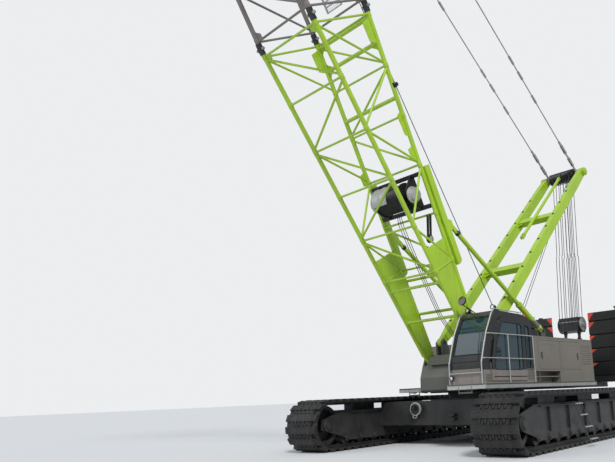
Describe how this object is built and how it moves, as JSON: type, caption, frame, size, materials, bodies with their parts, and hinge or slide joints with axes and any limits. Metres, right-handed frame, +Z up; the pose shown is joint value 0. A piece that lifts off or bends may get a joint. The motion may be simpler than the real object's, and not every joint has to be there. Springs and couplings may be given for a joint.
{
  "type": "crawler crane",
  "caption": "Lattice-boom crawler crane with leaning mast, pendants, backstops, hook block, slewing deck, sliding cab door and stacked counterweights.",
  "frame": {"origin": "on the slewing axis at ground level", "axes": "+X along the boom's plan direction, +Y to the cab side, +Z up"},
  "size_m": [24.014, 8.588, 27.3369],
  "materials": {
    "track_shoes": "dry black steel shoes dusted with sand",
    "undercarriage_paint": "satin black paint, dusty",
    "galvanised": "dull zinc, light grey",
    "grey_paint": "satin warm grey paint",
    "cab_paint": "semi-gloss black paint",
    "tinted_glass": "blue-green tinted safety glass",
    "seat_plastic": "matt dark seat cover",
    "black_paint": "satin black paint",
    "lime_paint": "gloss lime-green paint",
    "wire_rope": "greased steel wire rope",
    "pendant_steel": "bare galvanised links and rods",
    "dark_steel": "dark oiled steel"
  },
  "bodies": {
    "undercarriage": {"carbody": "undercarriage_paint", "jack_feet": "galvanised", "track_frame_left": "undercarriage_paint", "track_frame_right": "undercarriage_paint", "track_left": "track_shoes", "track_right": "track_shoes", "rollers_left": "undercarriage_paint", "rollers_right": "undercarriage_paint", "idlers": "undercarriage_paint", "sprockets": "undercarriage_paint"},
    "upper": {"deck_frame": "grey_paint", "front_box": "grey_paint", "deck_posts": "grey_paint", "pivot_pins": "dark_steel", "catwalk_left": "galvanised", "catwalk_right": "galvanised", "house_left": "grey_paint", "house_right": "grey_paint", "cab_shell": "cab_paint", "cab_door_wall": "cab_paint", "cab_glass": "tinted_glass", "cab_seat": "seat_plastic", "cab_rails": "galvanised", "cab_grabs": "galvanised", "cab_fittings": "cab_paint", "winch_stands": "black_paint", "weight_tray": "grey_paint", "weights_left": "black_paint", "weights_right": "black_paint"},
    "door_left_front_set": {"door_left_front": "grey_paint"},
    "door_left_rear_set": {"door_left_rear": "grey_paint"},
    "door_right_front_set": {"door_right_front": "grey_paint"},
    "door_right_rear_set": {"door_right_rear": "grey_paint"},
    "cab_door_set": {"cab_door": "cab_paint", "cab_door_glass": "tinted_glass"},
    "main_winch": {"main_drum": "wire_rope"},
    "second_winch": {"second_drum": "wire_rope"},
    "boom_hoist_winch": {"boom_hoist_drum": "wire_rope"},
    "fall_foot": {"fall_block": "black_paint", "fall_low": "wire_rope"},
    "fall_top": {"fall_high": "wire_rope"},
    "mast": {"mast_frame": "lime_paint", "mast_strut": "lime_paint"},
    "mast_sheave_set": {"mast_sheaves": "black_paint"},
    "pendants": {"pendants": "pendant_steel"},
    "stop_sleeve_pair": {"stop_sleeves": "grey_paint"},
    "stop_tube_pair": {"stop_tubes": "lime_paint"},
    "boom": {"boom_butt": "lime_paint", "boom_insert": "lime_paint", "boom_top": "lime_paint", "boom_pins": "dark_steel", "boom_walkway": "galvanised", "boom_winch_frame": "black_paint"},
    "boom_winch": {"boom_winch_drum": "wire_rope"},
    "tip_sheave_set": {"tip_sheaves": "black_paint"},
    "hook_block_set": {"hook_ropes": "wire_rope", "hook_block": "lime_paint"},
    "hook_set": {"hook": "dark_steel"}
  },
  "joints": [
    {"name": "slew", "type": "hinge", "parent": "undercarriage", "child": "upper", "pos_m": [0, 0, 0], "axis": [0, 0, 1], "continuous": true},
    {"name": "boom_luff", "type": "hinge", "parent": "upper", "child": "boom", "pos_m": [1.47, 0, 2.54], "axis": [0, -1, 0], "range_deg": [-29, 23]},
    {"name": "mast_pivot", "type": "hinge", "parent": "upper", "child": "mast", "pos_m": [1.02, 0, 3.09], "axis": [0, -1, 0], "range_deg": [-31.1, 24.7]},
    {"name": "pendant_pivot", "type": "hinge", "parent": "mast", "child": "pendants", "pos_m": [-6.33907, 0, 10.29653], "axis": [0, -1, 0], "range_deg": [-1.7, 2.1]},
    {"name": "fall_head_pivot", "type": "hinge", "parent": "mast", "child": "fall_top", "pos_m": [-6.33907, 0, 10.29653], "axis": [0, -1, 0], "range_deg": [-2.8, 2.2]},
    {"name": "fall_block_pivot", "type": "hinge", "parent": "upper", "child": "fall_foot", "pos_m": [-5.85, 0, 3.3], "axis": [0, -1, 0], "range_deg": [-33.8, 26.8]},
    {"name": "backstop_pivot", "type": "hinge", "parent": "upper", "child": "stop_sleeve_pair", "pos_m": [-1.8, 0, 3.4], "axis": [0, -1, 0], "range_deg": [-16.8, 13.4]},
    {"name": "backstop_slide", "type": "slide", "parent": "stop_sleeve_pair", "child": "stop_tube_pair", "axis": [0.8406, 0, 0.5416], "range_m": [-0.983, 1.235]},
    {"name": "mast_sheave_spin", "type": "hinge", "parent": "mast", "child": "mast_sheave_set", "pos_m": [-6.33907, 0, 10.29653], "axis": [0, 1, 0], "continuous": true},
    {"name": "tip_sheave_spin", "type": "hinge", "parent": "boom", "child": "tip_sheave_set", "pos_m": [16.71402, 0, 26.16287], "axis": [0, 1, 0], "continuous": true},
    {"name": "boom_winch_spin", "type": "hinge", "parent": "boom", "child": "boom_winch", "pos_m": [3.82413, 0, 7.09866], "axis": [0, 1, 0], "continuous": true},
    {"name": "main_winch_spin", "type": "hinge", "parent": "upper", "child": "main_winch", "pos_m": [-1, 0, 2.56], "axis": [0, 1, 0], "continuous": true},
    {"name": "second_winch_spin", "type": "hinge", "parent": "upper", "child": "second_winch", "pos_m": [-2.06, 0, 2.56], "axis": [0, 1, 0], "continuous": true},
    {"name": "boom_hoist_spin", "type": "hinge", "parent": "upper", "child": "boom_hoist_winch", "pos_m": [-4.3, 0, 2.56], "axis": [0, 1, 0], "continuous": true},
    {"name": "hook_hang", "type": "hinge", "parent": "boom", "child": "hook_block_set", "pos_m": [16.71402, 0, 26.16287], "axis": [0, -1, 0], "range_deg": [-23.1, 29.1]},
    {"name": "hook_swivel", "type": "hinge", "parent": "hook_block_set", "child": "hook_set", "pos_m": [16.71402, 0, 23.26287], "axis": [0, 0, 1], "continuous": true},
    {"name": "cab_door_slide", "type": "slide", "parent": "upper", "child": "cab_door_set", "axis": [-1, 0, 0], "range_m": [0, 0.75]},
    {"name": "door_left_front_hinge", "type": "hinge", "parent": "upper", "child": "door_left_front_set", "pos_m": [-1.265, 2.05, 2.5], "axis": [0, 0, 1], "range_deg": [0, 90]},
    {"name": "door_left_rear_hinge", "type": "hinge", "parent": "upper", "child": "door_left_rear_set", "pos_m": [-1.365, 2.05, 2.5], "axis": [0, 0, -1], "range_deg": [0, 90]},
    {"name": "door_right_front_hinge", "type": "hinge", "parent": "upper", "child": "door_right_front_set", "pos_m": [-1.265, -2.05, 2.5], "axis": [0, 0, -1], "range_deg": [0, 90]},
    {"name": "door_right_rear_hinge", "type": "hinge", "parent": "upper", "child": "door_right_rear_set", "pos_m": [-1.365, -2.05, 2.5], "axis": [0, 0, 1], "range_deg": [0, 90]}
  ],
  "couplings": [
    {"joint": "mast_pivot", "follows": "boom_luff", "ratio": 1.067},
    {"joint": "pendant_pivot", "follows": "boom_luff", "ratio": -0.066},
    {"joint": "fall_head_pivot", "follows": "boom_luff", "ratio": 0.09},
    {"joint": "fall_block_pivot", "follows": "boom_luff", "ratio": 1.16},
    {"joint": "backstop_pivot", "follows": "boom_luff", "ratio": 0.575},
    {"joint": "backstop_slide", "follows": "boom_luff", "m_per_rad": -2.4},
    {"joint": "hook_hang", "follows": "boom_luff", "ratio": -1}
  ]
}
